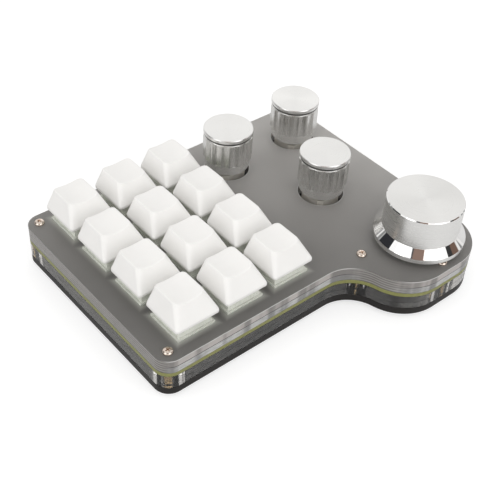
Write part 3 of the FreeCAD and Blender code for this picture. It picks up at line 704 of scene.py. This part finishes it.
# %% Small knobs
knob_low, knob_high = (Vector(corner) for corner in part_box("left_knob"))
knob_radius = (knob_high.x - knob_low.x) / 2 / mm
knob_height = (knob_high.z - knob_low.z) / mm
cap_thickness = 1.5
groove_width = 1.2
band_height = 4.4
flute_top = knob_height - cap_thickness - groove_width
flute_count = 16
flute_depth = 0.4
cutter_radius = 3.6
cutter_reach = knob_radius + cutter_radius - flute_depth
band_top = knob_radius - 0.35
bore = [(0.0, 11.4, brushed), (3.1, 11.4, brushed), (3.1, 5.5, brushed), (5.6, 5.5, brushed)]
small_profile = bore + [
    (5.6, 0.0, brushed), (8.5, 0.0, polished), (8.7, 0.15, brushed),
    (band_top, band_height - 0.1, brushed),
    (knob_radius, band_height, fluted), (knob_radius, flute_top, brushed),
    (knob_radius - 0.45, flute_top + 0.1, brushed), (knob_radius - 0.25, flute_top + 0.35, brushed),
    (knob_radius - 0.25, flute_top + 0.6, shadowed), (knob_radius - 0.6, flute_top + 0.65, shadowed),
    (knob_radius - 0.6, flute_top + 1.15, shadowed),
    (knob_radius - 0.2, flute_top + 1.2, brushed), (knob_radius, flute_top + 1.4, brushed),
    (knob_radius, knob_height - 0.25, brushed), (knob_radius - 0.25, knob_height, spun),
    (knob_radius * 0.66, knob_height, spun), (knob_radius * 0.33, knob_height, spun),
    (0.0, knob_height, spun),
]


def press_flutes(bm, middle):
    """Moves the fluted wall in to the arcs of the flutes."""
    for vert in bm.verts:
        spot = vert.co - middle
        height = spot.z / mm
        radius = spot.xy.length / mm
        if not (band_height - 0.01 < height < flute_top + 0.01 and radius > knob_radius - 0.05):
            continue
        step = 2 * math.pi / flute_count
        off = (math.atan2(spot.y, spot.x) + step / 2) % step - step / 2
        under = cutter_radius ** 2 - (cutter_reach * math.sin(off)) ** 2
        if under > 0:
            arc = cutter_reach * math.cos(off) - math.sqrt(under)
            if arc < knob_radius:
                spot.xy *= arc / radius
                vert.co = middle + spot


for name in small_knobs:
    low, high = (Vector(corner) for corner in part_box(name + "_knob"))
    middle = Vector(((low.x + high.x) / 2, (low.y + high.y) / 2, low.z))
    bm = turn(small_profile, flute_count * 12, middle)
    press_flutes(bm, middle)
    hand_over(bm, name + "_fluted_knob", name + "_dial", knob_finishes,
              [name + "_knob"], sharp=14)

# %% [markdown]
# ## Large knob
# The large knob on the tab stands on a thin rim, above which a mirror-polished flare runs up to a
# brushed drum with a spun top.

# %% Large knob
low, high = (Vector(corner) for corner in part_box("main_knob"))
large_height = (high.z - low.z) / mm
rim_radius = (high.x - low.x) / 2 / mm
drum_radius = 14.4
large_profile = bore + [
    (5.6, 1.3, brushed), (12.8, 1.3, brushed), (12.8, 0.0, brushed), (rim_radius - 0.2, 0.0, polished),
    (rim_radius, 0.2, brushed), (rim_radius, 1.95, polished), (rim_radius - 0.12, 2.1, polished),
    (drum_radius + 0.1, 4.75, polished), (drum_radius, 4.9, brushed),
    (drum_radius, large_height - 0.3, polished), (drum_radius - 0.3, large_height, spun),
    (drum_radius * 0.66, large_height, spun), (drum_radius * 0.33, large_height, spun),
    (0.0, large_height, spun),
]
middle = Vector(((low.x + high.x) / 2, (low.y + high.y) / 2, low.z))
hand_over(turn(large_profile, 144, middle), "large_flared_knob", "main_dial",
          knob_finishes, ["main_knob"], sharp=20)

# %% [markdown]
# ## The layers of the case
# The three sheets keep their outline from the model. Laser-cut sheet has edges that are almost
# sharp, and it is the thin bright line along them that makes it read as a thick sheet, so each copy
# gets a very small bevel. The clear sheets are shrunk by a hair in height, because glass that
# touches another surface exactly can't be traced well. The openings round the small knobs are drawn
# in a little closer.

# %% Sheets
air_gap = 0.04 * mm
opening_reach = 11.0 * mm
opening_scale = 0.89
bm = softened_copy("cover_plate", 0.18)
middle_height = (case_low.z + case_high.z) / 2
for vert in bm.verts:
    if vert.co.z < middle_height:
        vert.co.z += air_gap
for name in small_knobs:
    axis = centre_of(name + "_knob").xy
    for vert in bm.verts:
        outwards = vert.co.xy - axis
        if outwards.length < opening_reach:
            vert.co.xy = axis + outwards * opening_scale
bm.normal_update()
for face in bm.faces:
    face.material_index = 0 if face.normal.z > 0.9 else 1
keep_flat(hand_over(bm, "frosted_cover", "case", [frosted_acrylic, cover_edge_painted_light],
                    ["cover_plate"]))
bm = softened_copy("middle_frame", 0.15)
ring_low, ring_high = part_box("middle_frame")
middle_height = (ring_low[2] + ring_high[2]) / 2
for vert in bm.verts:
    vert.co.z += air_gap if vert.co.z < middle_height else -air_gap
keep_flat(hand_over(bm, "clear_spacer", "case", [clear_acrylic], ["middle_frame"]))
keep_flat(hand_over(softened_copy("base_plate", 0.25), "black_base", "case",
                    [base_black], ["base_plate"]))

# %% [markdown]
# ## Screws
# Small pan-head screws hold the layers. The head is spun from a low dome, and the cross recess is
# cut by a tapered cross, which a Boolean does best. One screw is made and copied to each place.


# %% Screw pattern
def cut_with(target, cutter):
    """The mesh of a bmesh minus another, by an exact Boolean."""
    objects = []
    for name, bm in (("cut_target", target), ("cut_tool", cutter)):
        mesh = bpy.data.meshes.new(name)
        bm.to_mesh(mesh)
        bm.free()
        thing = bpy.data.objects.new(name, mesh)
        scene.collection.objects.link(thing)
        objects.append(thing)
    modifier = objects[0].modifiers.new("cut", "BOOLEAN")
    modifier.operation = "DIFFERENCE"
    modifier.solver = "EXACT"
    modifier.use_self = True
    modifier.object = objects[1]
    bpy.context.view_layer.update()
    result = bpy.data.meshes.new_from_object(
        objects[0].evaluated_get(bpy.context.evaluated_depsgraph_get()))
    for thing in objects:
        mesh = thing.data
        bpy.data.objects.remove(thing)
        bpy.data.meshes.remove(mesh)
    return result


def screw_pattern(shank):
    """A pan-head screw with its head's underside at z = 0, in metres."""
    radius, height = 1.9, 1.3
    cross_depth = 0.25 * mm
    dome = [(0.0, -shank, 0), (0.8, -shank, 0), (0.95, -shank + 0.2, 0), (0.95, 0.0, 0),
            (radius - 0.1, 0.0, 0), (radius, 0.12, 0), (radius, 0.45, 0), (radius * 0.95, 0.75, 0),
            (radius * 0.82, 1.02, 0), (radius * 0.6, 1.2, 0), (radius * 0.3, height - 0.02, 0),
            (0.0, height, 0)]
    bm = turn(dome, 32, Vector((0, 0, 0)))
    cross = bmesh.new()
    for length, width in ((2.4, 0.62), (0.62, 2.4)):
        bar = bmesh.ops.create_cube(cross, size=1.0)["verts"]
        for vert in bar:
            taper = 1.0 if vert.co.z > 0 else 0.45
            vert.co = Vector((vert.co.x * length * taper, vert.co.y * width * taper, vert.co.z * 1.2))
            vert.co = vert.co * mm + Vector((0, 0, (height + 0.02) * mm - cross_depth))
    return cut_with(bm, cross)


# %% Screws in their places
def screws_in_place(node_name, piece_name, downwards):
    """Copies of the screw wherever the node has one."""
    pattern = screw_pattern(4.8 if downwards else 9.2)
    source = bmesh.new()
    source.from_mesh(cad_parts[node_name].data)
    bmesh.ops.remove_doubles(source, verts=source.verts, dist=0.0005 * mm)
    places = []
    for vert in source.verts:
        if not any((vert.co.xy - spot).length < 4 * mm for spot in places):
            near = [other.co.xy for other in source.verts if (other.co.xy - vert.co.xy).length < 4 * mm]
            lows = Vector((min(spot.x for spot in near), min(spot.y for spot in near)))
            highs = Vector((max(spot.x for spot in near), max(spot.y for spot in near)))
            places.append((lows + highs) / 2)
    source.free()
    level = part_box("base_plate")[0][2] if downwards else case_high.z
    bm = bmesh.new()
    for number, spot in enumerate(places):
        matrix = Matrix.Translation((spot.x, spot.y, level))
        if downwards:
            matrix = matrix @ Matrix.Rotation(math.pi, 4, "X")
        matrix = matrix @ Matrix.Rotation(0.5 + 1.1 * number, 4, "Z")
        before = len(bm.verts)
        bm.from_mesh(pattern)
        bm.verts.ensure_lookup_table()
        bmesh.ops.transform(bm, matrix=matrix, verts=bm.verts[before:])
    bpy.data.meshes.remove(pattern)
    hand_over(bm, piece_name, "case", [screw_nickel], [node_name], sharp=32)
    return places


screw_places = screws_in_place("cover_screws", "cover_pan_screws", False)
screws_in_place("base_screws", "base_pan_screws", True)
print("screws at", [tuple(round(part / mm, 1) for part in spot) for spot in screw_places])

# %% [markdown]
# ## Moulded and pressed parts
# Switch housings, encoder cases and the brass pillars already have the right shapes.
# They only need the small radii that moulding and pressing leave, and their finishes.

# %% Switches, encoders and small parts
for source, piece, width, slot, material in (
        ("switch_bases", "milky_switch_bases", 0.18, "milky_plastic", milky_housing),
        ("switch_lids", "milky_switch_lids", 0.25, "milky_plastic", milky_housing),
        ("encoder_bodies", "nickel_encoder_cases", 0.12, "encoder_metal", encoder_nickel),
        ("brass_standoffs", "brass_pillars", 0.08, "brass", pillar_brass)):
    keep_flat(hand_over(softened_copy(source, width), piece, "case", [material], [source]))

# %% [markdown]
# ## Pieces that keep their own mesh
# The rest is small or hidden, and its shape is right as it is, so it only gets its finish.

# %% Finishes for the model's own pieces
own_finishes = {
    "circuit_board": board_finish, "rubber_feet": foot_rubber, "switch_contacts": copper_leaf,
    "key_springs": spring_wire, "key_lights": light_lens, "usb_socket": socket_steel,
    "controller_chip": chip_black,
}
for name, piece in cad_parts.items():
    material = own_finishes.get(name)
    if name.startswith("slider_"):
        material = slider_orange
    elif name.endswith("_shaft"):
        material = shaft_metal
    elif name.endswith("_plunger"):
        material = plunger_nylon
    if material:
        piece.data.materials.clear()
        piece.data.materials.append(material)
print("pieces with their own mesh:", len(own_finishes) + 12 + 8)
